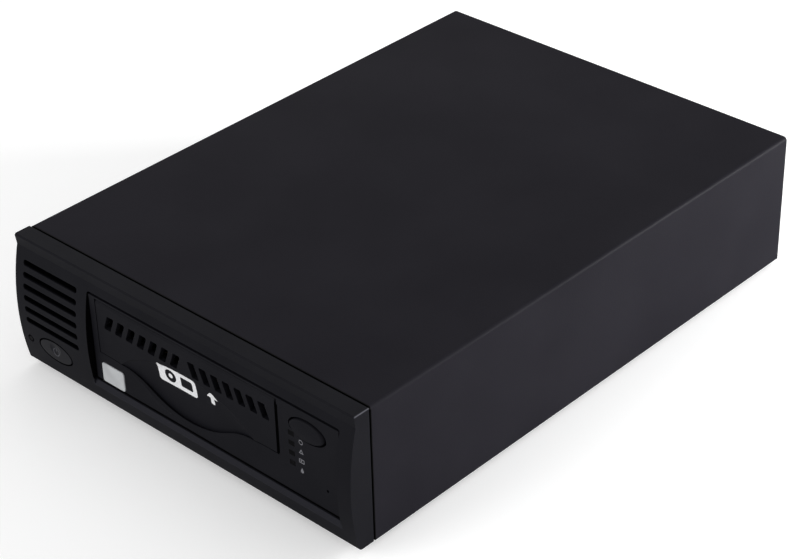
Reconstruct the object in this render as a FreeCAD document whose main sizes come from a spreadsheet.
import FreeCAD, Part
import math
import os
import types

import Sketcher
from FreeCAD import Placement, Rotation, Vector

# External half-height tape drive in a desktop case, millimetres.
# X runs to the right seen from the front, Y from the front to the back, Z up.
# The origin is the middle of the space the case takes up, on the surface its feet stand on.

doc = FreeCAD.newDocument("TapeDrive")

sizes = {
    # steel case
    "caseWidth": 204.6,
    "caseDepth": 277.5,
    "caseHeight": 65.7,
    "coverGauge": 1.0,
    "coverBend": 1.8,
    "baseGauge": 1.2,
    "panelLap": 0.3,
    "flangeHeight": 12.0,
    "rearReach": 5.0,
    # feet
    "footHeight": 3.5,
    "footRadius": 6.5,
    "footInset": 20.0,
    # moulded front bezel
    "seamGap": 0.8,
    "bezelEdge": 9.1,
    "bezelBulge": 12.5,
    "rimHeight": 5.4,
    "rimCrease": 0.7,
    "bezelSkin": 2.6,
    "openingFit": 0.6,
    "openingTopGap": 1.1,
    "openingBevel": 2.6,
    "openingCorner": 1.2,
    "ventLeft": 97.6,
    "ventLength": 36.6,
    "ventTop": 53.6,
    "ventPitch": 5.72,
    "ventHeight": 2.9,
    "ventCount": 6,
    # mains button and its light
    "buttonX": 79.5,
    "buttonZ": 14.6,
    "buttonHalfWidth": 10.4,
    "buttonHalfHeight": 5.1,
    "buttonGap": 0.9,
    "buttonDish": 1.2,
    "buttonDishRadius": 14.0,
    "buttonTravel": 2.5,
    "stemRadius": 2.5,
    "switchDepth": 12.0,
    "powerLightX": 96.7,
    "powerLightZ": 14.4,
    "powerLightRadius": 1.2,
    "powerLightHole": 1.9,
    # drive body
    "driveCentre": 19.8,
    "driveWidth": 146.0,
    "driveDepth": 200.6,
    "driveRaise": 12.6,
    "driveHeight": 41.6,
    "frameGauge": 1.2,
    "lidGauge": 0.8,
    "doorBay": 40.0,
    # drive bezel
    "driveBezelWidth": 148.4,
    "driveBezelHeight": 43.7,
    "driveBezelRaise": 11.6,
    "driveFace": 9.6,
    "driveBezelSkin": 3.4,
    "slotCentre": 4.1,
    # cartridge door
    "doorWidth": 108.2,
    "doorGap": 0.4,
    "doorLeftGap": 0.5,
    "doorRightGap": 1.2,
    "doorSill": 27.3,
    "doorLobeWidth": 95.2,
    "doorLobeDrop": 12.7,
    "doorSkin": 2.4,
    "doorPad": 1.8,
    "doorPadTop": 41.0,
    "doorKnuckle": 1.7,
    "doorHingeZ": 52.4,
    "dishDepth": 2.6,
    "dishWidth": 92.0,
    "dishHeight": 50.0,
    "dishZ": 15.0,
    "hingePinRadius": 0.8,
    "runningGap": 0.05,
    "louvreCount": 7,
    "louvrePitch": 6.9,
    "louvreWidth": 4.2,
    "louvreTop": 48.4,
    "louvreHeight": 7.2,
    "louvreLean": 2.9,
    "louvreSpread": 4.0,
    "louvreShift": 0.5,
    "louvreCorner": 0.9,
    # eject button and status lights
    "ejectX": 76.4,
    "ejectZ": 46.4,
    "ejectHalfWidth": 10.2,
    "ejectHalfHeight": 5.2,
    "ejectGap": 0.35,
    "ejectRecess": 1.1,
    "ejectStep": 0.5,
    "ejectTravel": 0.8,
    "statusX": 67.0,
    "statusTop": 41.4,
    "statusPitch": 4.9,
    "statusCount": 4,
    "statusWidth": 3.4,
    "statusHeight": 2.4,
    "resetX": 86.5,
    "resetZ": 22.2,
    "resetRadius": 0.7,
    "frontBoardGauge": 1.4,
    # cartridge tray
    "cartridgeWidth": 105.4,
    "cartridgeHeight": 21.5,
    "trayFloor": 27.2,
    "trayGauge": 0.8,
    "trayGap": 0.6,
    "trayFront": 26.0,
    "trayDepth": 63.5,
    "trayTravelBack": 16.0,
    "trayCutRadius": 21.0,
    # loading gears
    "gearModule": 0.8,
    "rackTeeth": 14,
    "rackLift": 3.0,
    "rackHeight": 6.0,
    "loadGearY": 60.0,
    "loadSmallTeeth": 15,
    "loadBigTeeth": 40,
    "loadPinionTeeth": 10,
    "loadMotorRadius": 9.0,
    "loadPinionAngle": -45.0,
    # deck and reel motors
    "deckRaise": 18.5,
    "deckGauge": 1.5,
    "deckFront": 20.0,
    "deckBack": 190.0,
    "boardRaise": 15.0,
    "boardGauge": 1.6,
    "hubY": 53.0,
    "hubRadius": 16.0,
    "hubMotorRadius": 24.0,
    "shaftRadius": 3.0,
    # tape path
    "pathX": -2.0,
    "pathY": 140.0,
    "reelX": 43.4,
    "reelY": 147.4,
    "reelRadius": 33.0,
    "reelHubRadius": 18.0,
    "tapeFloor": 29.3,
    "tapeRoom": 14.2,
    "flangeGauge": 1.3,
    "rollerOrbit": 36.0,
    "rollerRadius": 4.6,
    "rollerFlange": 0.9,
    "rollerPinRadius": 1.5,
    # recording head
    "headX": -3.2,
    "headWidth": 8.0,
    "headFaceY": 178.6,
    "headDepth": 8.0,
    "carriageDepth": 14.0,
    "carriageHeight": 13.0,
    "headMiddle": 36.4,
    "screwRadius": 1.5,
    "stepperRadius": 7.0,
    # threader
    "armReach": 46.0,
    "armRestAngle": 217.0,
    "armWidth": 8.0,
    "armGauge": 1.6,
    "armRaise": 48.4,
    "armPostRadius": 2.5,
    "grabberRadius": 2.4,
    "threaderTeeth": 25,
    "threaderPinionTeeth": 10,
    "threaderGearGauge": 2.6,
    "threaderMotorRadius": 6.0,
    "threaderMotorAngle": 150.0,
    # rear panel
    "fanX": -79.0,
    "fanZ": 34.0,
    "fanSize": 40.0,
    "fanDepth": 20.0,
    "fanBore": 18.6,
    "fanHub": 11.0,
    "fanScrewPitch": 32.0,
    "screwHead": 2.8,
    "screwShank": 1.5,
    "coverScrewX": 84.0,
    "coverScrewDrop": 6.5,
    "guardWire": 1.6,
    "inletX": -33.0,
    "inletZ": 34.0,
    "inletWidth": 24.2,
    "inletHeight": 16.6,
    "inletDepth": 17.0,
    "inletScrewPitch": 40.0,
    "portX": 36.0,
    "portLowZ": 22.0,
    "portPitch": 24.0,
    "portWidth": 44.0,
    "portHeight": 9.6,
    "standoffPitch": 56.0,
    "idX": 86.0,
    "idZ": 34.0,
    "idWidth": 9.0,
    "idHeight": 22.0,
    "idDrumRadius": 5.0,
    "idDrumWidth": 4.4,
    "idButtonPitch": 8.0,
    # power supply
    "supplyLeft": -99.0,
    "supplyWidth": 40.0,
    "supplyFront": 36.0,
    "supplyLength": 170.0,
    "supplyWall": 44.0,
    "cableGauge": 0.9,
    "loomX": -30.0,
    "loomRadius": 2.2,
}

sheet = doc.addObject("Spreadsheet::Sheet", "Sizes")
for row, (alias, number) in enumerate(sizes.items(), 1):
    sheet.set(f"A{row}", alias)
    sheet.set(f"B{row}", str(number))
    sheet.setAlias(f"B{row}", alias)
doc.recompute()


class Size:
    # A number together with the formula that ties it to the sheet.
    def __init__(self, number, formula):
        self.number = number
        self.formula = formula

    def __float__(self):
        return self.number

    def __add__(self, other):
        other = sized(other)
        return Size(self.number + other.number, f"({self.formula} + {other.formula})")

    def __sub__(self, other):
        other = sized(other)
        return Size(self.number - other.number, f"({self.formula} - {other.formula})")

    def __mul__(self, other):
        other = sized(other)
        return Size(self.number * other.number, f"({self.formula} * {other.formula})")

    def __truediv__(self, other):
        other = sized(other)
        return Size(self.number / other.number, f"({self.formula} / {other.formula})")

    def __rsub__(self, other):
        return sized(other) - self

    def __neg__(self):
        return sized(0) - self

    __radd__ = __add__
    __rmul__ = __mul__


def sized(thing):
    if isinstance(thing, Size):
        return thing
    return Size(float(thing), f"({float(thing)})")


def cosine(angle):
    angle = sized(angle)
    return Size(math.cos(math.radians(angle.number)), f"cos({angle.formula})")


def sine(angle):
    angle = sized(angle)
    return Size(math.sin(math.radians(angle.number)), f"sin({angle.formula})")


n = types.SimpleNamespace(**{a: Size(float(sheet.get(a)), f"Sizes.{a}") for a in sizes})


# solids made of primitives

turns = {
    "x": Rotation(Vector(0, 1, 0), 90),
    "y": Rotation(Vector(1, 0, 0), -90),
    "z": Rotation(),
}


def bind(thing, **settings):
    for name, size in settings.items():
        thing.setExpression(name, sized(size).formula)
    return thing


def put(thing, place, turn=Rotation()):
    thing.Placement = Placement(Vector(), turn)
    for letter, size in zip("xyz", place):
        thing.setExpression(f"Placement.Base.{letter}", sized(size).formula)
    return thing


def span(pair):
    return sized(pair[1]) - pair[0]


def around(middle, width):
    return (middle - width / 2, middle + width / 2)


def block(name, x, y, z):
    solid = doc.addObject("Part::Box", name)
    bind(solid, Length=span(x), Width=span(y), Height=span(z))
    return put(solid, (x[0], y[0], z[0]))


def rod(name, axis, centre, radius, along):
    solid = doc.addObject("Part::Cylinder", name)
    bind(solid, Radius=radius, Height=span(along))
    place = list(centre)
    place.insert("xyz".index(axis), along[0])
    return put(solid, place, turns[axis])


def cone(name, centre, low_radius, high_radius, z):
    solid = doc.addObject("Part::Cone", name)
    bind(solid, Radius1=low_radius, Radius2=high_radius, Height=span(z))
    return put(solid, (*centre, z[0]))


def oval(name, centre, half_width, half_height, y):
    ring = doc.addObject("Part::Ellipse", name + "_outline")
    bind(ring, MajorRadius=half_width, MinorRadius=half_height)
    put(ring, (centre[0], y[0], centre[1]), Rotation(Vector(1, 0, 0), 90))
    solid = doc.addObject("Part::Extrusion", name)
    solid.Base = ring
    solid.DirMode = "Custom"
    solid.Dir = Vector(0, 1, 0)
    solid.Solid = True
    return bind(solid, LengthFwd=span(y))


def fuse(name, *solids):
    whole = doc.addObject("Part::MultiFuse", name)
    whole.Shapes = list(solids)
    whole.Refine = True
    return whole


def cut(name, base, *tools):
    whole = doc.addObject("Part::Cut", name)
    whole.Base = base
    whole.Tool = tools[0] if len(tools) == 1 else fuse(name + "_tools", *tools)
    whole.Refine = True
    return whole


def common(name, first, second):
    whole = doc.addObject("Part::Common", name)
    whole.Base = first
    whole.Tool = second
    whole.Refine = True
    return whole


def group(name, *solids):
    whole = doc.addObject("Part::Compound", name)
    whole.Links = list(solids)
    return whole


# bodies made of sketches


def sketch(body, name, role, offset=0):
    drawing = body.newObject("Sketcher::SketchObject", name)
    plane = next(f for f in body.Origin.OriginFeatures if f.Role == role)
    drawing.AttachmentSupport = [(plane, "")]
    drawing.MapMode = "FlatFace"
    drawing.setExpression("AttachmentOffset.Base.z", sized(offset).formula)
    return drawing


def arc_between(start, end, radius):
    # The arc turns left from start to end where the radius is positive, and right where it is negative.
    chord = end - start
    side = Vector(-chord.y, chord.x, 0).normalize()
    rise = math.sqrt(max(radius**2 - (chord.Length / 2) ** 2, 0.0))
    centre = (start + end) / 2 + side * math.copysign(rise, radius)
    first, last = (start, end) if radius > 0 else (end, start)
    angles = [math.atan2(p.y - centre.y, p.x - centre.x) for p in (first, last)]
    if angles[1] < angles[0]:
        angles[1] += 2 * math.pi
    circle = Part.Circle(centre, Vector(0, 0, 1), abs(radius))
    return Part.ArcOfCircle(circle, *angles)


def outline(drawing, points):
    # A closed outline. A third value at a point is the radius of the arc that leaves it.
    corners = [tuple(sized(value) for value in point) for point in points]
    heads = []
    for here, there in zip(corners, corners[1:] + corners[:1]):
        start, end = (Vector(p[0].number, p[1].number, 0) for p in (here, there))
        if len(here) == 3:
            geometry = drawing.addGeometry(arc_between(start, end, here[2].number), False)
            heads.append((geometry, 1, 2) if here[2].number > 0 else (geometry, 2, 1))
            size = here[2] if here[2].number > 0 else -here[2]
            held(drawing, size, "Radius", geometry)
        else:
            geometry = drawing.addGeometry(Part.LineSegment(start, end), False)
            heads.append((geometry, 1, 2))
    for (geometry, start, end), follower in zip(heads, heads[1:] + heads[:1]):
        drawing.addConstraint(
            Sketcher.Constraint("Coincident", geometry, end, follower[0], follower[1])
        )
    for (geometry, start, end), corner in zip(heads, corners):
        held(drawing, corner[0], "DistanceX", -1, 1, geometry, start)
        held(drawing, corner[1], "DistanceY", -1, 1, geometry, start)


def held(drawing, size, kind, *where):
    number = drawing.addConstraint(Sketcher.Constraint(kind, *where, size.number))
    drawing.setExpression(f"Constraints[{number}]", size.formula)


def rectangle(drawing, x, y):
    outline(drawing, [(x[0], y[0]), (x[1], y[0]), (x[1], y[1]), (x[0], y[1])])


def pad(body, drawing, length, reverse=False):
    feature = body.newObject("PartDesign::Pad", drawing.Name + "_pad")
    feature.Profile = drawing
    feature.Reversed = reverse
    return bind(feature, Length=length)


def pocket(body, drawing, length=None, reverse=False):
    feature = body.newObject("PartDesign::Pocket", drawing.Name + "_pocket")
    feature.Profile = drawing
    feature.Reversed = reverse
    if length is None:
        feature.Type = "ThroughAll"
        feature.SideType = "Symmetric"
        return feature
    return bind(feature, Length=length)


def repeat(body, features, drawing, direction, pitch, count, reverse=False):
    pattern = body.newObject("PartDesign::LinearPattern", features[0].Name + "_row")
    pattern.Originals = features
    pattern.Direction = (drawing, [direction])
    pattern.Reversed = reverse
    bind(pattern, Length=pitch * (count - 1), Occurrences=count)
    body.Tip = pattern
    return pattern


def extruded(name, role, points, along, reverse=False):
    body = doc.addObject("PartDesign::Body", name)
    drawing = sketch(body, name + "_profile", role, along[0])
    outline(drawing, points)
    pad(body, drawing, span(along), reverse)
    return body


def turned(name, centre, profile):
    # A solid of revolution about an upright axis. The profile gives radius and height.
    body = doc.addObject("PartDesign::Body", name)
    drawing = sketch(body, name + "_profile", "XZ_Plane")
    outline(drawing, profile)
    feature = body.newObject("PartDesign::Revolution", name + "_turn")
    feature.Profile = drawing
    feature.ReferenceAxis = (drawing, ["V_Axis"])
    feature.Angle = 360
    return put(body, (centre[0], centre[1], 0))


def gear(name, teeth, module, bore, z, centre, facing):
    # Straight-flanked spur gear with a tooth centred on the angle it faces, thinned for backlash.
    pitch = module.number * teeth.number / 2
    count = round(teeth.number)
    step = 2 * math.pi / count
    root, tip = pitch - 1.2 * module.number, pitch + 0.8 * module.number
    flank = ((root, -0.30), (tip, -0.13), (tip, 0.13), (root, 0.30))
    start = math.radians(facing)
    edges = []
    corners = []
    for tooth in range(count):
        for radius, half in flank:
            angle = start + (tooth + half) * step
            corners.append(Vector(radius * math.cos(angle), radius * math.sin(angle), 0))
    for here, there in zip(corners, corners[1:] + corners[:1]):
        edges.append(Part.LineSegment(here, there).toShape())
    face = Part.Face(Part.Wire(edges))
    solid = face.extrude(Vector(0, 0, span(z).number))
    hole = Part.makeCylinder(bore.number, span(z).number)
    feature = doc.addObject("Part::Feature", name)
    feature.Shape = solid.cut(hole)
    return put(feature, (*centre, z[0]))


# planes that the pieces share

side = n.caseWidth / 2
seam = (n.bezelBulge - n.caseDepth - n.rearReach) / 2
back = seam + n.caseDepth
floor = n.footHeight
roof = floor + n.caseHeight
panel_front = back - n.baseGauge
inner_side = side - n.coverGauge - n.panelLap
face = seam - n.driveFace
drive_side = n.driveWidth / 2
drive_left = n.driveCentre - drive_side
drive_right = n.driveCentre + drive_side
drive_floor = floor + n.driveRaise
drive_roof = drive_floor + n.driveHeight
drive_front = face + n.driveBezelSkin
drive_back = drive_front + n.driveDepth
bezel_low = floor + n.driveBezelRaise
bezel_high = bezel_low + n.driveBezelHeight
bezel_left = n.driveCentre - n.driveBezelWidth / 2
bezel_right = n.driveCentre + n.driveBezelWidth / 2
board_top = floor + n.boardRaise + n.boardGauge
deck_low = floor + n.deckRaise
deck_top = deck_low + n.deckGauge


def make_case():
    # folded steel base with its rear panel and front frame
    base_y = (seam, back)
    plate = block("base_plate", (-inner_side, inner_side), base_y, (floor, floor + n.baseGauge))
    rear = block("base_rear", (-inner_side, inner_side), (panel_front, back),
                 (floor, roof - n.coverGauge - n.panelLap))
    front = block("base_front", (-inner_side, inner_side), (seam, seam + n.baseGauge),
                  (floor, roof - n.coverGauge - n.panelLap))
    flange = (floor, floor + n.flangeHeight)
    left = block("base_left_flange", (-inner_side, n.baseGauge - inner_side), base_y, flange)
    right = block("base_right_flange", (inner_side - n.baseGauge, inner_side), base_y, flange)
    through = (panel_front - 1, back + 1)
    window_y = (seam - 1, seam + n.baseGauge + 1)
    holes = [
        block("drive_window", (bezel_left - 1, bezel_right + 1), window_y, (bezel_low - 1, bezel_high + 2)),
        block("air_window", (1 - n.ventLeft, n.ventLength - n.ventLeft - 1), window_y,
              (floor + n.ventTop - n.ventPitch * n.ventCount, floor + n.ventTop + n.ventHeight)),
        rod("stem_hole", "y", (-n.buttonX, floor + n.buttonZ), n.stemRadius + 0.5, window_y),
        rod("light_hole", "y", (-n.powerLightX, floor + n.powerLightZ), n.powerLightRadius + 0.3, window_y),
        rod("fan_hole", "y", (n.fanX, floor + n.fanZ), n.fanBore, through),
        block("inlet_hole", around(n.inletX, n.inletWidth + 3.4), through,
              around(floor + n.inletZ, n.inletHeight + 3.4)),
        block("port_hole_low", around(n.portX, n.portWidth + 0.4), through,
              around(floor + n.portLowZ, n.portHeight + 0.4)),
        block("port_hole_high", around(n.portX, n.portWidth + 0.4), through,
              around(floor + n.portLowZ + n.portPitch, n.portHeight + 0.4)),
        block("id_hole", around(n.idX, n.idWidth + 0.4), through, around(floor + n.idZ, n.idHeight + 0.4)),
    ]
    cut("base_chassis", fuse("base_shell", plate, rear, front, left, right), *holes, *screw_holes())

    # folded steel cover, a channel that slides on from above
    bend = n.coverBend
    inner = n.coverBend - n.coverGauge
    gauge = n.coverGauge
    points = [
        (-side, floor),
        (gauge - side, floor),
        (gauge - side, roof - bend, -inner),
        (bend - side, roof - gauge),
        (side - bend, roof - gauge, -inner),
        (side - gauge, roof - bend),
        (side - gauge, floor),
        (side, floor),
        (side, roof - bend, bend),
        (side - bend, roof),
        (bend - side, roof, bend),
        (-side, roof - bend),
    ]
    channel = extruded("cover_channel", "XZ_Plane", points, (-back, -seam))
    tabs = []
    for number, (x, z) in enumerate(cover_ears(), 1):
        tab = block(f"cover_tab_{number}", around(x, 12.0), (panel_front - gauge, panel_front),
                    (z - 4, roof - gauge / 2))
        tabs.append(tab)
    fuse("top_cover", channel, *tabs)

    # four stick-on rubber feet
    feet = []
    for across in (-1, 1):
        for y in (seam + n.footInset, back - n.footInset):
            centre = (across * (side - n.footInset), y)
            feet.append(cone(f"foot_{len(feet) + 1}", centre, n.footRadius - 0.9, n.footRadius, (0, floor)))
    group("rubber_feet", *feet)


def bezel_form(name, x):
    # the curved section of the front bezel: a set-back rim over a bulging face
    foot = 2.4
    chord = n.caseHeight - n.rimHeight - n.bezelEdge / 3.5 - foot
    bulge = n.bezelBulge - n.driveFace + 0.3
    radius = chord * chord / (bulge * 8) + bulge / 2
    crest = floor + n.caseHeight - n.rimHeight
    points = [
        (seam - n.seamGap, floor),
        (seam - n.bezelEdge + 1.6, floor, sized(-2.6)),
        (face, floor + foot, -radius),
        (seam - n.bezelEdge, crest - n.bezelEdge / 3.5),
        (seam - n.bezelEdge + n.rimCrease, crest),
        (seam - n.bezelEdge, roof - n.rimCrease),
        (seam - n.bezelEdge + n.rimCrease, roof),
        (seam - n.seamGap, roof),
    ]
    return extruded(name, "YZ_Plane", points, x)


def make_bezel():
    # moulded front bezel: air slots, openings for the button, its light and the drive
    body = bezel_form("bezel_shell", (-side, side))
    opening = sketch(body, "drive_opening", "XZ_Plane")
    fit = n.openingFit
    left, right = bezel_left - fit, bezel_right + fit
    low, high = bezel_low - fit, bezel_high + n.openingTopGap
    r = n.openingCorner
    outline(opening, [
        (left + r, low), (right - r, low, r), (right, low + r), (right, high - r, r),
        (right - r, high), (left + r, high, r), (left, high - r), (left, low + r, r),
    ])
    pocket(body, opening)
    hollow_side = sketch(body, "pier_hollow", "XZ_Plane", n.seamGap - seam)
    rectangle(hollow_side, (n.bezelSkin - side, left - n.bezelSkin),
              (floor + n.bezelSkin, roof - n.bezelSkin))
    pocket(body, hollow_side, n.bezelEdge - n.seamGap - n.bezelSkin, True)
    slot = sketch(body, "air_slot", "XZ_Plane")
    half = n.ventHeight / 2
    x = (-n.ventLeft, n.ventLength - n.ventLeft)
    z = floor + n.ventTop
    nose = half * 1.08
    outline(slot, [
        (x[0] + half, z - half), (x[1] - half, z - half, nose),
        (x[1] - half, z + half), (x[0] + half, z + half, nose),
    ])
    air = pocket(body, slot)
    repeat(body, [air], slot, "V_Axis", n.ventPitch, n.ventCount, True)

    centre = (-n.buttonX, floor + n.buttonZ)
    deep = (seam - n.bezelBulge - 1, seam)
    hole = oval("button_hole", centre, n.buttonHalfWidth + n.buttonGap, n.buttonHalfHeight + n.buttonGap,
                deep)
    light_centre = (-n.powerLightX, floor + n.powerLightZ)
    light_hole = rod("power_light_hole", "y", light_centre, n.powerLightHole, deep)
    # the lower lip of the opening slopes down to the bulging face
    lip = extruded("opening_bevel", "YZ_Plane", [
        (face - 0.2, low + 0.1), (face - 4, low + 0.1), (face - 4, low - n.openingBevel - 4),
        (face - 1.3, low - n.openingBevel),
    ], (left, right))
    cut("front_bezel", body, hole, light_hole, lip)

    # mains button: an oval cap that follows the face, dished, on a round stem
    cap = oval("button_cap", centre, n.buttonHalfWidth, n.buttonHalfHeight,
               (seam - n.bezelBulge - 1, seam - n.bezelEdge + 2))
    form = bezel_form("button_face", (-side, -side + n.caseWidth / 4))
    dish = doc.addObject("Part::Sphere", "button_dish")
    bind(dish, Radius=n.buttonDishRadius)
    put(dish, (centre[0], seam - n.bezelBulge + n.buttonDish - n.buttonDishRadius, centre[1]))
    stem = rod("button_stem", "y", centre, n.stemRadius, (seam - n.bezelEdge + 1, seam + 1))
    cut("power_button", fuse("button_solid", common("button_front", cap, form), stem), dish)
    light = rod("light_rod", "y", light_centre, n.powerLightRadius, (seam - n.bezelBulge - 1, seam + 2))
    light_form = bezel_form("light_face", (-side, -side + n.caseWidth / 4))
    tail = rod("light_tail", "y", light_centre, n.powerLightRadius, (seam - n.bezelEdge, seam + 2))
    collar = rod("light_collar", "y", light_centre, n.powerLightHole,
                 (seam - n.bezelEdge, seam - n.bezelEdge + 2))
    fuse("power_light_pipe", common("light_front", light, light_form), tail, collar)

    # mains switch behind the button, on its bracket
    travel = seam + 1 + n.buttonTravel + 0.4
    box_y = (travel, travel + n.switchDepth)
    block("power_switch", around(-n.buttonX, 15.0), box_y, around(floor + n.buttonZ, 9.0))
    bracket_y = (box_y[0], box_y[1])
    foot = block("bracket_foot", around(-n.buttonX, 24.0), bracket_y,
                 (floor + n.baseGauge, floor + n.baseGauge + 1.2))
    low = floor + n.baseGauge
    cradle = block("bracket_seat", around(-n.buttonX, 17.4), bracket_y, (low, floor + n.buttonZ - 4.5))
    cheeks = [
        block("bracket_left", (-n.buttonX - 8.7, -n.buttonX - 7.5), bracket_y,
              (low, floor + n.buttonZ + 4.5)),
        block("bracket_right", (-n.buttonX + 7.5, -n.buttonX + 8.7), bracket_y,
              (low, floor + n.buttonZ + 4.5)),
    ]
    fuse("switch_bracket", foot, cradle, *cheeks)


def door_outline(left, right, gap, top):
    # straight sides and an S-shaped sill with a lobe in its middle
    c = n.slotCentre
    lobe = n.doorLobeWidth / 2
    drop = n.doorLobeDrop
    sill = floor + n.doorSill - gap
    radius = (lobe * lobe + drop * drop) / (drop * 4)
    return [
        (left, sill),
        (c - lobe, sill, -radius),
        (c - lobe / 2, sill - drop / 2, radius),
        (c + lobe / 2, sill - drop / 2, -radius),
        (c + lobe, sill),
        (right, sill),
        (right, top),
        (left, top),
    ]


def make_drive_bezel():
    # moulded drive bezel with the door opening, button hole and light windows
    body = extruded("drive_bezel_plate", "XZ_Plane", [
        (bezel_left, bezel_low), (bezel_right, bezel_low), (bezel_right, bezel_high),
        (bezel_left, bezel_high),
    ], (-drive_front, -face))
    opening = sketch(body, "door_opening", "XZ_Plane")
    c = n.slotCentre
    half = n.doorWidth / 2
    top = floor + n.doorHingeZ + n.doorKnuckle + 0.35
    outline(opening, door_outline(c - half - n.doorLeftGap, c + half + n.doorRightGap, n.doorGap, top))
    pocket(body, opening)
    lights = sketch(body, "light_window", "XZ_Plane")
    z = floor + n.statusTop
    rectangle(lights, around(n.statusX, n.statusWidth), around(z, n.statusHeight))
    window = pocket(body, lights)
    repeat(body, [window], lights, "V_Axis", n.statusPitch, n.statusCount, True)
    through = (face - 1, drive_front + 1)
    eject = (n.ejectX, floor + n.ejectZ)
    hinge = (face + n.doorKnuckle, floor + n.doorHingeZ)
    pin_x = (c - half - 2.4, c + half + 3.2)
    tools = [
        oval("eject_hole", eject, n.ejectHalfWidth + n.ejectGap, n.ejectHalfHeight + n.ejectGap, through),
        rod("reset_hole", "y", (n.resetX, floor + n.resetZ), n.resetRadius, through),
        rod("hinge_pin_hole", "x", hinge, n.hingePinRadius, pin_x),
    ]
    cut("drive_bezel", body, *tools)
    rod("door_hinge_pin", "x", hinge, n.hingePinRadius, pin_x)

    # eject button: stepped oval cap with a stem that presses the switch
    travel = n.ejectTravel
    front = face + n.ejectRecess
    cap = oval("eject_cap", eject, n.ejectHalfWidth, n.ejectHalfHeight, (front, drive_front - 0.8))
    raised = oval("eject_crown", eject, n.ejectHalfWidth - n.ejectStep, n.ejectHalfHeight - n.ejectStep,
                  (front - n.ejectStep, front + 0.1))
    switch_front = drive_front + 1.6
    stem = rod("eject_stem", "y", eject, 1.6, (drive_front - 1.0, switch_front - travel - 0.3))
    fuse("eject_button", cap, raised, stem)
    board_y = (drive_front + 4.2, drive_front + 4.2 + n.frontBoardGauge)
    can = block("switch_can", around(n.ejectX, 6.0), (switch_front + 0.8, board_y[0]),
                around(floor + n.ejectZ, 6.0))
    plunger = rod("switch_plunger", "y", eject, 1.6, (switch_front, switch_front + 1))
    fuse("eject_switch", can, plunger)
    board = block("front_board_plate", (n.statusX - 5, bezel_right - 3), board_y,
                  (floor + 16.5, floor + 51.5))
    posts = []
    for z in (floor + 18.5, floor + 30):
        posts.append(rod(f"board_post_{len(posts) + 1}", "y", (n.resetX + 3, z), 1.5,
                         (drive_front, board_y[0])))
    fuse("front_board", board, *posts)
    pipes = []
    for number in range(round(n.statusCount.number)):
        z = floor + n.statusTop - n.statusPitch * number
        pipes.append(block(f"status_light_pipe_{number + 1}", around(n.statusX, n.statusWidth),
                           (face - 0.0, board_y[0]), around(z, n.statusHeight)))
    group("status_light_pipes", *pipes)


def make_door():
    # cartridge door: a moulded flap with louvres, a finger dish and a hinge knuckle along its top
    body = doc.addObject("PartDesign::Body", "door_panel")
    front = sketch(body, "door_front", "XZ_Plane", -face - n.doorSkin)
    c = n.slotCentre
    left, right = c - n.doorWidth / 2, c + n.doorWidth / 2
    hinge = (face + n.doorKnuckle, floor + n.doorHingeZ)
    outline(front, door_outline(left, right, 0, hinge[1]))
    pad(body, front, n.doorSkin)
    r = n.louvreCorner
    for hand in (-1, 1):
        drawing = sketch(body, "louvre_left" if hand < 0 else "louvre_right", "XZ_Plane")
        top = floor + n.louvreTop
        low = top - n.louvreHeight
        x = c + n.louvreShift + hand * (n.louvreSpread / 2)
        near, far = (x, x + n.louvreWidth * hand)
        lean = n.louvreLean * hand
        slope = n.louvreLean / n.louvreHeight * hand
        turn = -r * hand
        outline(drawing, [
            (near + r * hand, top), (far - r * hand, top, turn),
            (far + slope * r, top - r), (far + lean - slope * r, low + r, turn),
            (far + lean - r * hand, low), (near + lean + r * hand, low, turn),
            (near + lean - slope * r, low + r), (near + slope * r, top - r, turn),
        ])
        slot = pocket(body, drawing)
        repeat(body, [slot], drawing, "H_Axis", n.louvrePitch, n.louvreCount, hand < 0)
    knuckle = rod("door_knuckle", "x", hinge, n.doorKnuckle, (left, right))
    back_pad = extruded("door_back_pad", "XZ_Plane", door_outline(left + 2, right - 2, 0,
                                                                  floor + n.doorPadTop),
                        (-face - n.doorSkin - n.doorPad, -face - n.doorSkin + 0.1))
    dish = doc.addObject("Part::Ellipsoid", "door_dish")
    bind(dish, Radius1=n.dishHeight / 2, Radius2=n.dishWidth / 2, Radius3=n.dishDepth)
    put(dish, (c, face, floor + n.dishZ))
    bore = rod("door_bore", "x", hinge, n.hingePinRadius + n.runningGap, (left - 1, right + 1))
    cut("cartridge_door", fuse("door_shell", body, knuckle, back_pad), dish, bore)


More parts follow.
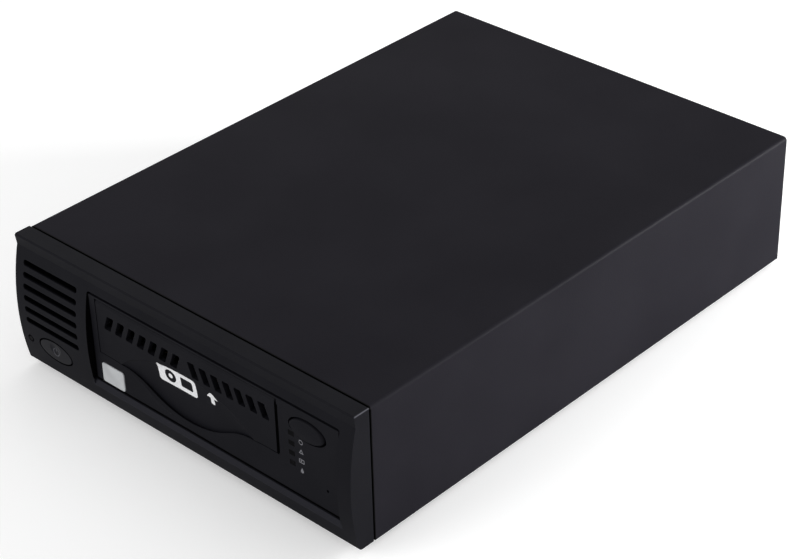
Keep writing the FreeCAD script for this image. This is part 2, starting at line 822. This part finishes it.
def make_drive_frame():
    # folded frame of the drive, open in front and on top, with its lid and the brackets under it
    body = extruded("frame_block", "XZ_Plane", [
        (drive_left, drive_floor), (drive_right, drive_floor),
        (drive_right, drive_roof - n.lidGauge), (drive_left, drive_roof - n.lidGauge),
    ], (-drive_back, -drive_front))
    room = sketch(body, "frame_room", "XZ_Plane")
    gauge = n.frameGauge
    rectangle(room, (drive_left + gauge, drive_right - gauge), (drive_floor + gauge, drive_roof))
    pocket(body, room)
    rear = block("frame_rear", (drive_left, drive_right), (drive_back - gauge, drive_back),
                 (drive_floor, drive_roof - n.lidGauge))
    slot_y = (drive_back - gauge - 1, drive_back + 1)
    slot_z = (board_top + 0.6, board_top + 9)
    data_slot = block("frame_data_slot", around(n.portX, 44.0), slot_y, slot_z)
    power_slot = block("frame_power_slot", around(n.loomX, 24.0), slot_y, slot_z)
    cut("drive_frame", fuse("frame_shell", body, rear), data_slot, power_slot)
    lid_z = (drive_roof - n.lidGauge, drive_roof)
    lid = block("lid_plate", (drive_left, drive_right), (drive_front, drive_back), lid_z)
    bay = block("door_swing_bay", (bezel_left - 1, n.slotCentre + n.doorWidth / 2 + 2),
                (drive_front - 1, drive_front + n.doorBay), (lid_z[0] - 1, lid_z[1] + 1))
    cut("drive_lid", lid, bay)
    rails = []
    for x in (drive_left + 6, drive_right - 18):
        base_z = floor + n.baseGauge
        y = (drive_front + 12, drive_back - 12)
        rails.append(fuse(
            f"drive_rail_{len(rails) + 1}",
            block(f"rail_foot_{len(rails) + 1}", (x, x + 12), y, (base_z, base_z + gauge)),
            block(f"rail_web_{len(rails) + 1}", (x, x + gauge), y, (base_z, drive_floor)),
            block(f"rail_top_{len(rails) + 1}", (x, x + 12), y, (drive_floor - gauge, drive_floor)),
        ))
    group("drive_rails", *rails)


def make_tray():
    # folded cartridge tray with a rack on its right side
    c = n.slotCentre
    gauge = n.trayGauge
    inner = n.cartridgeWidth / 2 + n.trayGap
    outer = inner + gauge
    y = (seam + n.trayFront, seam + n.trayFront + n.trayDepth)
    low = floor + n.trayFloor
    high = low + gauge + n.cartridgeHeight + n.trayGap * 1.5
    bottom = block("tray_bottom", (c - outer, c + outer), y, (low, low + gauge))
    walls = [
        block("tray_left", (c - outer, c - inner), y, (low, high + gauge)),
        block("tray_right", (c + inner, c + outer), y, (low, high + gauge)),
        block("tray_left_lip", (c - outer, c - outer + 12), y, (high, high + gauge)),
        block("tray_right_lip", (c + outer - 12, c + outer), y, (high, high + gauge)),
        block("tray_left_stop", (c - outer, c - outer + 6), (y[1] - gauge, y[1]), (low, low + 5)),
        block("tray_right_stop", (c + outer - 6, c + outer), (y[1] - gauge, y[1]), (low, low + 5)),
    ]
    hub_end = seam + n.hubY
    cut_z = (low - 1, low + gauge + 0.01)
    slot = block("tray_hub_slot", around(c, n.trayCutRadius * 2), (y[0] - 1, hub_end), cut_z)
    slot_end = rod("tray_hub_slot_end", "z", (c, hub_end), n.trayCutRadius, cut_z)
    module = n.gearModule
    pitch = module * math.pi
    rack_z = (low + n.rackLift, low + n.rackLift + n.rackHeight)
    rack_x = rack_line() - module * 1.2
    tip_x = rack_line() + module * 0.8
    root, tip = pitch * 0.30, pitch * 0.13
    first = -n.rackTeeth.number / 2 - round(n.trayTravelBack.number / 2 / pitch.number) + 0.5
    centres = [seam + n.loadGearY + pitch * (first + i) for i in range(round(n.rackTeeth.number))]
    start, end = centres[0] - pitch / 2, centres[-1] + pitch / 2
    points = [(c + outer - gauge / 2, start), (rack_x, start)]
    for y_tooth in centres:
        points += [(rack_x, y_tooth - root), (tip_x, y_tooth - tip), (tip_x, y_tooth + tip),
                   (rack_x, y_tooth + root)]
    points += [(rack_x, end), (c + outer - gauge / 2, end)]
    rack = extruded("rack", "XY_Plane", points, rack_z)
    fuse("cartridge_tray", cut("tray_plate", bottom, slot, slot_end), *walls, rack)


def rack_line():
    # the rack's pitch line, in x
    return n.slotCentre + n.cartridgeWidth / 2 + n.trayGap + n.trayGauge + 3.4


def make_loader():
    # rack gear, motor pinion and motor that draw the tray in
    module = n.gearModule
    small = module * n.loadSmallTeeth / 2
    big = module * n.loadBigTeeth / 2
    pinion = module * n.loadPinionTeeth / 2
    centre = (rack_line() + small, seam + n.loadGearY)
    bore = sized(1.5) + n.runningGap
    small_z = (deck_top + 4.2, floor + n.trayFloor + n.rackLift + n.rackHeight + 0.6)
    big_z = (deck_top + 1.0, deck_top + 3.6)
    upper = gear("load_gear_small", n.loadSmallTeeth, module, bore, small_z, centre, 180)
    facing = n.loadPinionAngle.number
    lower = gear("load_gear_big", n.loadBigTeeth, module, bore, big_z, centre, facing)
    hub = cut("load_gear_neck", rod("load_gear_hub", "z", centre, 3.4, (deck_top + 0.3, small_z[0] + 0.2)),
              rod("load_gear_hub_bore", "z", centre, bore, (deck_top - 1, small_z[0] + 2)))
    fuse("load_gear", upper, lower, hub)
    reach = big + pinion
    motor = (centre[0] + reach * cosine(n.loadPinionAngle), centre[1] + reach * sine(n.loadPinionAngle))
    half_tooth = 180 / n.loadPinionTeeth.number
    wheel = gear("load_pinion_wheel", n.loadPinionTeeth, module, sized(0.8),
                 (deck_top + 0.6, deck_top + 4.0), motor,
                 facing + 180 + half_tooth)
    shaft = rod("load_pinion_shaft", "z", motor, 0.8, (deck_top + 0.6, deck_top + 7.4))
    fuse("load_pinion", wheel, shaft)
    r = n.loadMotorRadius
    plate_z = (deck_top + 5.0, deck_top + 6.2)
    plate = block("motor_plate", (motor[0] - 6, motor[0] + r), (motor[1] - r - 3.5, motor[1] + r), plate_z)
    leg_z = (deck_top, plate_z[1])
    legs = [
        block("motor_leg_front", (motor[0] - 6, motor[0] + 6), (motor[1] - r - 3.5, motor[1] - r - 2.3),
              leg_z),
        block("motor_leg_side", (motor[0] + r - 1.2, motor[0] + r), around(motor[1], 16.0), leg_z),
    ]
    can = rod("motor_can", "z", motor, r, (plate_z[0], plate_z[1] + 20))
    room = rod("motor_shaft_room", "z", motor, 0.8 + n.runningGap, (plate_z[0] - 1, deck_top + 7.8))
    cut("load_motor", fuse("motor_solid", plate, *legs, can), room)


def make_deck():
    # deck plate with the fixed shafts that the gear, rollers and threader turn on
    x = (drive_left + n.frameGauge + 1, drive_right - n.frameGauge - 1)
    y = (seam + n.deckFront, seam + n.deckBack)
    plate = block("deck_sheet", x, y, (deck_low, deck_top))
    posts = []
    for px in (x[0] + 4, x[1] - 4):
        for py in (y[0] + 4, y[1] - 4):
            posts.append(rod(f"deck_post_{len(posts) + 1}", "z", (px, py), 3.0,
                             (drive_floor + n.frameGauge, deck_low + 0.5)))
    load_centre = (rack_line() + n.gearModule * n.loadSmallTeeth / 2, seam + n.loadGearY)
    posts.append(rod("load_gear_shaft", "z", load_centre, 1.5,
                     (deck_low, floor + n.trayFloor + n.rackLift + n.rackHeight + 1.6)))
    posts.append(rod("threader_post", "z", (n.pathX, seam + n.pathY), n.armPostRadius,
                     (deck_low, floor + n.armRaise + n.armGauge + 0.6)))
    for number, centre in enumerate(roller_centres(), 1):
        posts.append(rod(f"roller_pin_{number}", "z", centre, n.rollerPinRadius,
                         (deck_low, floor + n.tapeFloor + n.tapeRoom + 1)))
        posts.append(rod(f"roller_boss_{number}", "z", centre, 3.0, (deck_low, floor + n.tapeFloor - 0.3)))
    fuse("deck_plate", plate, *posts)

    # circuit board under the deck, with its chips and the connector at the back
    board_z = (floor + n.boardRaise, board_top)
    board = block("board_sheet", (x[0], x[1]), (seam + 12, drive_back - n.frameGauge - 1), board_z)
    holes = []
    for px in (x[0] + 4, x[1] - 4):
        for py in (y[0] + 4, y[1] - 4):
            holes.append(rod(f"board_hole_{len(holes) + 1}", "z", (px, py), 3.6,
                             (board_z[0] - 1, board_z[1] + 1)))
    chips = [
        block("chip_controller", around(-20.0, 24.0), around(seam + 90, 24.0),
              (board_top - 0.1, board_top + 1.4)),
        block("chip_memory", around(14.0, 12.0), around(seam + 96, 20.0),
              (board_top - 0.1, board_top + 1.2)),
        block("chip_channel", around(52.0, 20.0), around(seam + 88, 20.0),
              (board_top - 0.1, board_top + 1.4)),
        block("board_feet_left", (x[0] + 1, x[0] + 3), (seam + 30, drive_back - 20),
              (drive_floor + n.frameGauge, board_z[0] + 0.1)),
        block("board_feet_right", (x[1] - 3, x[1] - 1), (seam + 30, drive_back - 20),
              (drive_floor + n.frameGauge, board_z[0] + 0.1)),
    ]
    socket_y = (seam + n.deckBack + 0.3, drive_back - n.frameGauge - 0.4)
    socket_z = (board_top - 0.1, board_top + 8)
    sockets = [block("data_socket", around(n.portX, 40.0), socket_y, socket_z),
               block("power_socket", around(n.loomX, 20.0), socket_y, socket_z)]
    cut("logic_board", fuse("board_solid", board, *sockets, *chips), *holes)

    # supply reel motor and its clutch hub, under the cartridge
    hub = (n.slotCentre, seam + n.hubY)
    stator = rod("supply_stator", "z", hub, n.hubMotorRadius, (deck_top, deck_top + 3.4))
    spindle = rod("supply_spindle", "z", hub, 2.0, (deck_top, deck_top + 7.0))
    fuse("supply_motor", stator, spindle)
    low = deck_top + 3.8
    profile = [
        (2.0 + n.runningGap, low), (n.hubRadius, low), (n.hubRadius, low + 2.0),
        (n.hubRadius - 2, low + 2.0),
        (n.hubRadius - 3, low + 3.4), (n.hubRadius - 5.5, low + 3.4), (n.hubRadius - 6.5, low + 2.0),
        (2.0 + n.runningGap, low + 2.0),
    ]
    turned("supply_hub", hub, profile)

    # take-up motor and reel behind the cartridge
    reel = (n.reelX, seam + n.reelY)
    reel_low = floor + n.tapeFloor - n.flangeGauge
    reel_high = floor + n.tapeFloor + n.tapeRoom + n.flangeGauge
    can = rod("take_up_can", "z", reel, 14.0, (deck_top, reel_low - 0.8))
    tape_low, tape_high = floor + n.tapeFloor, floor + n.tapeFloor + n.tapeRoom
    # the shaft stops low, so that the grabber can end its travel on the axis of the reel
    shaft = rod("take_up_shaft", "z", reel, n.shaftRadius, (deck_top, tape_low + 0.8))
    fuse("take_up_motor", can, shaft)
    bore = n.shaftRadius + n.runningGap
    wheel = turned("reel_wheel", reel, [
        (bore, reel_low), (n.reelRadius, reel_low), (n.reelRadius, tape_low), (n.reelHubRadius, tape_low),
        (n.reelHubRadius, tape_high), (n.reelRadius, tape_high), (n.reelRadius, reel_high),
        (bore, reel_high),
    ])
    # slot in the hub and upper flange that lets the grabber pass to the middle
    path = (n.pathX, seam + n.pathY)
    slot_z = (tape_low + 0.8, reel_high + 1)
    margin = n.grabberRadius + 0.9
    sector = rod("grabber_sweep", "z", path, n.armReach + margin, slot_z)
    sector.Angle = 60
    sector.Placement = Placement(sector.Placement.Base, Rotation(Vector(0, 0, 1), 9))
    core = rod("grabber_sweep_core", "z", path, n.armReach - margin, (slot_z[0] - 1, slot_z[1] + 1))
    cut("take_up_reel", wheel, cut("grabber_slot", sector, core))


def roller_centres():
    # the tape runs round the outside of four rollers on a circle about the threader post
    centres = []
    for angle in (200, 150, 112, 72):
        centres.append((n.pathX + n.rollerOrbit * cosine(angle),
                        seam + n.pathY + n.rollerOrbit * sine(angle)))
    return centres


def make_tape_path():
    low, high = floor + n.tapeFloor, floor + n.tapeFloor + n.tapeRoom
    bore = n.rollerPinRadius + n.runningGap
    barrel, rim = n.rollerRadius, n.rollerRadius + n.rollerFlange
    for number, centre in enumerate(roller_centres(), 1):
        turned(f"guide_roller_{number}", centre, [
            (bore, low), (rim, low), (rim, low + 0.8), (barrel, low + 0.8),
            (barrel, high - 0.8), (rim, high - 0.8), (rim, high), (bore, high),
        ])

    # recording head on a carriage that a screw lifts across the tape
    x = around(n.headX, n.headWidth)
    middle = floor + n.headMiddle
    z = around(middle, n.carriageHeight)
    head_back = seam + n.headFaceY - n.headDepth
    screw = (n.headX, head_back - n.carriageDepth / 2)
    carriage = block("carriage_block", x, (head_back - n.carriageDepth, head_back), z)
    screw_room = rod("carriage_nut", "z", screw, n.screwRadius + n.runningGap, (z[0] - 1, z[1] + 1))
    cut("head_carriage", carriage, screw_room)
    head_y = (head_back, seam + n.headFaceY)
    nose = rod("head_nose", "z", (n.headX, head_y[1] - 6), 6.0, z)
    bar = block("head_bar", x, head_y, z)
    common("tape_head", bar, fuse("head_form", nose, block("head_root", x, (head_y[0], head_y[1] - 6), z)))
    screw_top = floor + n.armRaise - 0.6
    stepper_z = (deck_top, deck_top + 4.0)
    rod("head_leadscrew", "z", screw, n.screwRadius, (stepper_z[1] + 0.4, screw_top))
    rod("head_stepper", "z", screw, n.stepperRadius, stepper_z)


def make_threader():
    # arm that carries the tape leader round the rollers to the take-up reel
    path = (n.pathX, seam + n.pathY)
    module = n.gearModule
    arm_z = (floor + n.armRaise, floor + n.armRaise + n.armGauge)
    gear_z = (arm_z[0] - n.threaderGearGauge, arm_z[0] + 0.1)
    bore = n.armPostRadius + n.runningGap
    facing = n.threaderMotorAngle.number
    wheel = gear("threader_gear", n.threaderTeeth, module, bore, gear_z, path, facing)
    rest = n.armRestAngle
    tip = (path[0] + n.armReach * cosine(rest), path[1] + n.armReach * sine(rest))
    bar = doc.addObject("Part::Box", "arm_bar")
    bind(bar, Length=n.armReach, Width=n.armWidth, Height=n.armGauge)
    corner = (path[0] + n.armWidth / 2 * sine(rest), path[1] - n.armWidth / 2 * cosine(rest), arm_z[0])
    put(bar, corner, Rotation(Vector(0, 0, 1), rest.number))
    disc = rod("arm_root", "z", path, n.armWidth * 0.9, arm_z)
    end = rod("arm_tip", "z", tip, n.armWidth / 2, arm_z)
    pin = rod("grabber", "z", tip, n.grabberRadius, (floor + n.tapeFloor + 2.0, arm_z[1]))
    hole = rod("arm_bore", "z", path, bore, (gear_z[0] - 1, arm_z[1] + 1))
    cut("threader_arm", fuse("arm_solid", wheel, bar, disc, end, pin), hole)
    reach = module * (n.threaderTeeth + n.threaderPinionTeeth) / 2
    motor = (path[0] + reach * cosine(n.threaderMotorAngle), path[1] + reach * sine(n.threaderMotorAngle))
    half_tooth = 180 / n.threaderPinionTeeth.number
    pinion = gear("threader_pinion_wheel", n.threaderPinionTeeth, module, sized(0.8),
                  (gear_z[0], gear_z[1] - 0.6), motor,
                  facing + 180 + half_tooth)
    shaft = rod("threader_pinion_shaft", "z", motor, 0.8, (gear_z[0] - 1.6, gear_z[1] - 0.6))
    fuse("threader_pinion", pinion, shaft)
    can = rod("threader_can", "z", motor, n.threaderMotorRadius, (deck_top, gear_z[0] - 0.4))
    room = rod("threader_shaft_room", "z", motor, 0.8 + n.runningGap, (gear_z[0] - 2.0, gear_z[0]))
    cut("threader_motor", can, room)


# rear panel

def fan_ears():
    half = n.fanScrewPitch / 2
    return [(n.fanX + i * half, floor + n.fanZ + j * half) for i in (-1, 1) for j in (-1, 1)]


def inlet_ears():
    return [(n.inletX + i * (n.inletScrewPitch / 2), floor + n.inletZ) for i in (-1, 1)]


def port_ears():
    rows = (floor + n.portLowZ, floor + n.portLowZ + n.portPitch)
    return [(n.portX + i * (n.standoffPitch / 2), z) for i in (-1, 1) for z in rows]


def cover_ears():
    return [(n.coverScrewX * i, roof - n.coverScrewDrop) for i in (-1, 1)]


def panel_screws(name, places, head_y):
    screws = []
    for number, place in enumerate(places, 1):
        head = rod(f"{name}_head_{number}", "y", place, n.screwHead, (head_y, head_y + 1.5))
        shank = rod(f"{name}_shank_{number}", "y", place, n.screwShank, (panel_front, head_y + 0.1))
        screws.append(fuse(f"{name}_screw_{number}", head, shank))
    return screws


def make_rear_panel():
    fan_z = floor + n.fanZ
    centre = (n.fanX, fan_z)
    half = n.fanSize / 2
    fan_y = (panel_front - n.fanDepth, panel_front)
    box = block("fan_block", around(n.fanX, n.fanSize), fan_y, around(fan_z, n.fanSize))
    duct = rod("fan_duct", "y", centre, n.fanBore, (fan_y[0] - 1, fan_y[1] + 1))
    holes = [rod(f"fan_ear_{i}", "y", p, n.screwShank, (fan_y[0] - 1, fan_y[1] + 1)) for i,
             p in enumerate(fan_ears(), 1)]
    shell = cut("fan_shell", box, duct, *holes)
    seat_y = (panel_front - 3.0, panel_front - 1.0)
    seat = rod("fan_seat", "y", centre, n.fanHub, seat_y)
    struts = []
    for number, angle in enumerate((30, 150, 270), 1):
        strut = doc.addObject("Part::Box", f"fan_strut_{number}")
        bind(strut, Length=n.fanBore - 8, Width=1.6, Height=2.4)
        turn = Rotation(Vector(0, 1, 0), -angle)
        reach = turn.multVec(Vector(8.6, 0, -1.2))
        put(strut, (n.fanX + reach.x, seat_y[0], fan_z + reach.z), turn)
        struts.append(strut)
    spindle = rod("fan_spindle", "y", centre, n.screwShank, (fan_y[0] + 2, seat_y[1]))
    fuse("fan_frame", shell, seat, *struts, spindle)

    rotor_y = (fan_y[0] + 1.2, seat_y[0] - 0.5)
    hub = rod("fan_hub", "y", centre, n.fanHub, rotor_y)
    blades = []
    for number in range(7):
        blade = doc.addObject("Part::Box", f"fan_blade_{number + 1}")
        bind(blade, Length=n.fanBore - n.fanHub, Width=14.0, Height=1.2)
        turn = Rotation(Vector(0, 1, 0), -360 / 7 * number) * Rotation(Vector(1, 0, 0), 38)
        reach = turn.multVec(Vector(n.fanHub.number - 1.6, -7.0, -0.6))
        put(blade, (n.fanX + reach.x, (rotor_y[0] + rotor_y[1]) / 2 + reach.y, fan_z + reach.z), turn)
        blades.append(blade)
    limit = rod("blade_limit", "y", centre, n.fanBore - 0.8, rotor_y)
    wheel = common("fan_wheel", fuse("fan_solid", hub, *blades), limit)
    cut("fan_rotor", wheel, rod("fan_bore_hole", "y", centre, n.screwShank + n.runningGap,
                                (rotor_y[0] - 1, rotor_y[1] + 1)))

    # flat pressed guard: rings on two bars, with an eye at each corner
    guard_y = (back, back + n.guardWire)
    rings = []
    for number, radius in enumerate((6.0, 11.5, 17.0), 1):
        outer = rod(f"guard_outer_{number}", "y", centre, n.guardWire / 2 + radius, guard_y)
        inner = rod(f"guard_inner_{number}", "y", centre, radius - n.guardWire / 2,
                    (guard_y[0] - 1, guard_y[1] + 1))
        rings.append(cut(f"guard_ring_{number}", outer, inner))
    reach = n.fanScrewPitch * 1.4142
    for number, angle in enumerate((45, 135), 1):
        bar = doc.addObject("Part::Box", f"guard_bar_{number}")
        bind(bar, Length=reach, Width=n.guardWire, Height=n.guardWire)
        turn = Rotation(Vector(0, 1, 0), -angle)
        start = turn.multVec(Vector(-reach.number / 2, 0, -n.guardWire.number / 2))
        put(bar, (n.fanX + start.x, guard_y[0], fan_z + start.z), turn)
        rings.append(bar)
    for number, place in enumerate(fan_ears(), 1):
        rings.append(rod(f"guard_eye_{number}", "y", place, n.screwHead + 0.4, guard_y))
    eyes = [rod(f"guard_hole_{i}", "y", p, n.screwShank, (guard_y[0] - 1, guard_y[1] + 1)) for i,
            p in enumerate(fan_ears(), 1)]
    cut("fan_guard", fuse("guard_solid", *rings), *eyes)

    # mains inlet: a recess with three blades and two ears
    inlet_z = floor + n.inletZ
    lip = 3.0
    outer = block("inlet_outer", around(n.inletX, n.inletWidth + lip), (back - n.inletDepth - 2, back + 2),
                  around(inlet_z, n.inletHeight + lip))
    flange = block("inlet_flange", around(n.inletX, n.inletScrewPitch + 8), (back, back + 2),
                   around(inlet_z, n.inletHeight + 6))
    recess = block("inlet_recess", around(n.inletX, n.inletWidth), (back - n.inletDepth, back + 3),
                   around(inlet_z, n.inletHeight))
    ears = [rod(f"inlet_ear_{i}", "y", p, n.screwShank, (back - 1, back + 3)) for i,
            p in enumerate(inlet_ears(), 1)]
    shell = cut("inlet_shell", fuse("inlet_solid", outer, flange), recess, *ears)
    blades = []
    for x, z in ((-7.0, -1.5), (7.0, -1.5), (0.0, 2.5)):
        blades.append(block(f"inlet_blade_{len(blades) + 1}", around(n.inletX + x, 2.0),
                            (back - n.inletDepth - 0.5, back - 2.5), around(inlet_z + z, 4.0)))
    tabs = [block(f"inlet_tab_{i}", around(n.inletX + x, 0.8),
                  (back - n.inletDepth - 9, back - n.inletDepth - 1),
                  around(inlet_z, 4.8)) for i, x in enumerate((-7.0, 0.0, 7.0), 1)]
    fuse("mains_inlet", shell, *blades, *tabs)

    # two ribbon-type bus ports, their inserts and hexagonal standoffs
    inserts = []
    for level, z in (("lower", floor + n.portLowZ), ("upper", floor + n.portLowZ + n.portPitch)):
        outer = block(f"port_{level}_outer", around(n.portX, n.portWidth), (back - 10, back + 4.5),
                      around(z, n.portHeight))
        plate = block(f"port_{level}_plate", around(n.portX, n.standoffPitch + 8),
                      (panel_front - 1, panel_front),
                      around(z, n.portHeight + 5))
        room = block(f"port_{level}_room", around(n.portX, n.portWidth - 2.4), (back - 11, back + 5),
                     around(z, n.portHeight - 2.4))
        ears = [rod(f"port_{level}_ear_{i}", "y", (n.portX + i * (n.standoffPitch / 2), z), n.screwShank,
                    (panel_front - 2, panel_front + 1)) for i in (-1, 1)]
        cut(f"scsi_port_{level}", fuse(f"port_{level}_solid", outer, plate), room, *ears)
        base = block(f"port_{level}_base", around(n.portX, n.portWidth - 2.4), (back - 10, back + 1),
                     around(z, n.portHeight - 2.4))
        tongue = block(f"port_{level}_tongue", around(n.portX, n.portWidth - 8), (back, back + 4),
                       around(z, 2.4))
        inserts.append(fuse(f"port_{level}_insert", base, tongue))
    group("port_inserts", *inserts)
    standoffs = []
    for number, place in enumerate(port_ears(), 1):
        hexagon = doc.addObject("Part::Prism", f"standoff_hexagon_{number}")
        hexagon.Polygon = 6
        bind(hexagon, Circumradius=2.8, Height=n.rearReach)
        put(hexagon, (place[0], back, place[1]), turns["y"])
        shank = rod(f"standoff_shank_{number}", "y", place, n.screwShank, (panel_front - 1, back + 0.1))
        standoffs.append(fuse(f"standoff_{number}", hexagon, shank))
    group("port_standoffs", *standoffs)

    # two-button number switch
    id_z = floor + n.idZ
    drum_place = (back - 4.4, id_z)
    drum_room = n.idDrumRadius + 0.4
    outer = block("id_outer", around(n.idX, n.idWidth), (back - 11, back + 1.2), around(id_z, n.idHeight))
    flange = block("id_flange", around(n.idX, n.idWidth + 3), (back, back + 1.2),
                   around(id_z, n.idHeight + 3))
    rooms = [rod("id_drum_room", "x", drum_place, drum_room, around(n.idX, n.idDrumWidth + 0.8)),
             block("id_drum_window", around(n.idX, n.idDrumWidth + 0.8), (back - 1, back + 2),
                   around(id_z, 5.6))]
    for hand in (-1, 1):
        rooms.append(block(f"id_button_room_{len(rooms)}", around(n.idX, 5.0), (back - 5, back + 2),
                           around(id_z + hand * n.idButtonPitch, 4.0)))
    pin = rod("id_drum_pin", "x", drum_place, n.hingePinRadius, around(n.idX, n.idDrumWidth + 1))
    fuse("id_switch_body", cut("id_shell", fuse("id_solid", outer, flange), *rooms), pin)
    drum = rod("id_drum", "x", drum_place, n.idDrumRadius, around(n.idX, n.idDrumWidth))
    cut("id_number_drum", drum, rod("id_drum_bore", "x", drum_place, n.hingePinRadius + n.runningGap,
                                    around(n.idX, n.idWidth)))
    for name, hand in (("id_plus_button", 1), ("id_minus_button", -1)):
        block(name, around(n.idX, 4.2), (back - 3, back + 2.4), around(id_z + hand * n.idButtonPitch, 3.2))

    group("rear_panel_screws", *panel_screws("fan", fan_ears(), back + n.guardWire),
          *panel_screws("inlet", inlet_ears(), back + 2))
    group("cover_screws", *panel_screws("cover", cover_ears(), back))


def screw_holes():
    places = fan_ears() + inlet_ears() + port_ears() + cover_ears()
    return [rod(f"panel_hole_{i}", "y", p, n.screwShank, (panel_front - 1, back + 1)) for i,
            p in enumerate(places, 1)]


# power supply and cables

def cable(name, points, radius):
    parts = []
    for start, end in zip(points, points[1:]):
        way = Vector(*(float(b) - float(a) for a, b in zip(start, end)))
        run = doc.addObject("Part::Cylinder", f"{name}_run_{len(parts) + 1}")
        bind(run, Radius=radius, Height=way.Length)
        put(run, start, Rotation(Vector(0, 0, 1), way))
        parts.append(run)
        if end is not points[-1]:
            elbow = doc.addObject("Part::Sphere", f"{name}_elbow_{len(parts)}")
            bind(elbow, Radius=radius)
            put(elbow, end)
            parts.append(elbow)
    return fuse(name, *parts)


def make_power():
    left, right = n.supplyLeft, n.supplyLeft + n.supplyWidth
    y = (seam + n.supplyFront, seam + n.supplyFront + n.supplyLength)
    low = floor + n.baseGauge
    gauge = n.frameGauge
    floor_sheet = block("supply_floor", (left, right), y, (low, low + gauge))
    wall = block("supply_wall", (right, right + gauge), y, (low, low + n.supplyWall))
    fuse("power_supply_bracket", floor_sheet, wall)

    board_low = low + gauge + 5.0
    board_high = board_low + n.boardGauge
    board = block("supply_sheet", (left + 2, right - 2), (y[0] + 4, y[1] - 4), (board_low, board_high))
    pillars = [rod(f"supply_pillar_{i}", "z", p, 2.5, (low + gauge, board_low + 0.1)) for i, p in enumerate(
        [(px, py) for px in (left + 6, right - 6) for py in (y[0] + 8, y[1] - 8)], 1)]
    middle = left + n.supplyWidth / 2
    plug = block("supply_plug", around(right - 11, 12.0), (y[1] - 12, y[1] - 6),
                 (board_high - 0.1, board_high + 8))
    choke = block("supply_choke", around(left + 12, 14.0), (y[0] + 8, y[0] + 22),
                  (board_high - 0.1, board_high + 16))
    fuse("power_supply_board", board, *pillars, plug, choke)

    core_y = (y[0] + 62, y[0] + 92)
    core = block("transformer_core", around(middle - 2, 28.0), core_y, (board_high + 4, board_high + 22))
    winding = block("transformer_winding", around(middle - 2, 22.0),
                    around((core_y[0] + core_y[1]) / 2, 24.0),
                    (board_high, board_high + 26))
    fuse("power_transformer", core, winding)
    group("power_capacitors",
          rod("capacitor_mains", "z", (middle + 2, y[0] + 42), 11.0, (board_high, board_high + 30)),
          rod("capacitor_low_1", "z", (middle - 8, y[1] - 22), 5.0, (board_high, board_high + 20)),
          rod("capacitor_low_2", "z", (middle - 8, y[1] - 36), 5.0, (board_high, board_high + 20)))
    base = block("heatsink_base", (right - 8, right - 5), (y[0] + 96, y[0] + 136),
                 (board_high, board_high + 28))
    fins = [block(f"heatsink_fin_{i + 1}", (right - 20, right - 7.5), around(y[0] + 98 + i * 9, 1.6),
                  (board_high + 4, board_high + 28)) for i in range(5)]
    fuse("power_heatsink", base, *fins)

    socket_z = board_top + 4
    start = (n.loomX, drive_back - n.frameGauge - 0.4, socket_z)
    bend = (n.loomX, drive_back + 18, socket_z)
    turn = (right - 11, drive_back + 18, socket_z)
    drop = (right - 11, y[1] - 9, board_high + 14)
    cable("power_loom", [start, bend, turn, drop, (right - 11, y[1] - 9, board_high + 8)], n.loomRadius)

    # folded ribbon cable from the drive to both ports
    thick = n.cableGauge
    run_z = board_top + 4
    turn_y = back - 14
    top_z = floor + n.portLowZ + n.portPitch + 3
    points = [
        (drive_back - n.frameGauge - 0.4, run_z), (turn_y + thick, run_z), (turn_y + thick, top_z),
        (turn_y, top_z), (turn_y, run_z + thick), (drive_back - n.frameGauge - 0.4, run_z + thick),
    ]
    strip = extruded("ribbon_strip", "YZ_Plane", points, around(n.portX, 34.0))
    plugs = [block(f"ribbon_plug_{i}", around(n.portX, 38.0), (turn_y + thick - 0.1, back - 10),
                   around(z, 5.0))
             for i, z in enumerate((floor + n.portLowZ, floor + n.portLowZ + n.portPitch), 1)]
    fuse("scsi_ribbon", strip, *plugs)


make_case()
make_bezel()
make_drive_bezel()
make_door()
make_drive_frame()
make_tray()
make_loader()
make_deck()
make_tape_path()
make_threader()
make_rear_panel()
make_power()
doc.recompute()

nodes = [
    "base_chassis", "top_cover", "front_bezel", "rubber_feet", "cover_screws",
    "power_button", "power_light_pipe", "power_switch", "switch_bracket",
    "drive_bezel", "cartridge_door", "door_hinge_pin", "eject_button", "eject_switch",
    "status_light_pipes", "front_board", "drive_rails", "drive_frame", "drive_lid",
    "cartridge_tray", "load_gear", "load_pinion", "load_motor",
    "deck_plate", "logic_board", "supply_motor", "supply_hub", "take_up_motor", "take_up_reel",
    "guide_roller_1", "guide_roller_2", "guide_roller_3", "guide_roller_4",
    "tape_head", "head_carriage", "head_leadscrew", "head_stepper",
    "threader_arm", "threader_pinion", "threader_motor",
    "mains_inlet", "fan_frame", "fan_rotor", "fan_guard", "rear_panel_screws",
    "scsi_port_lower", "scsi_port_upper", "port_inserts", "port_standoffs",
    "id_switch_body", "id_number_drum", "id_plus_button", "id_minus_button",
    "power_supply_bracket", "power_supply_board", "power_transformer",
    "power_capacitors", "power_heatsink", "power_loom", "scsi_ribbon",
]

for thing in doc.Objects:
    if "Invalid" in thing.State or "Error" in thing.State:
        raise RuntimeError(f"{thing.Label} did not rebuild: {thing.State}")

os.makedirs("parts", exist_ok=True)
for name in nodes:
    node = doc.getObject(name)
    if node.Shape.isNull() or not node.Shape.isValid():
        raise RuntimeError(f"{name} has no valid solid")
    node.Label = name
    node.Shape.exportStep(f"parts/{name}.step")
print(len(nodes), "nodes exported")
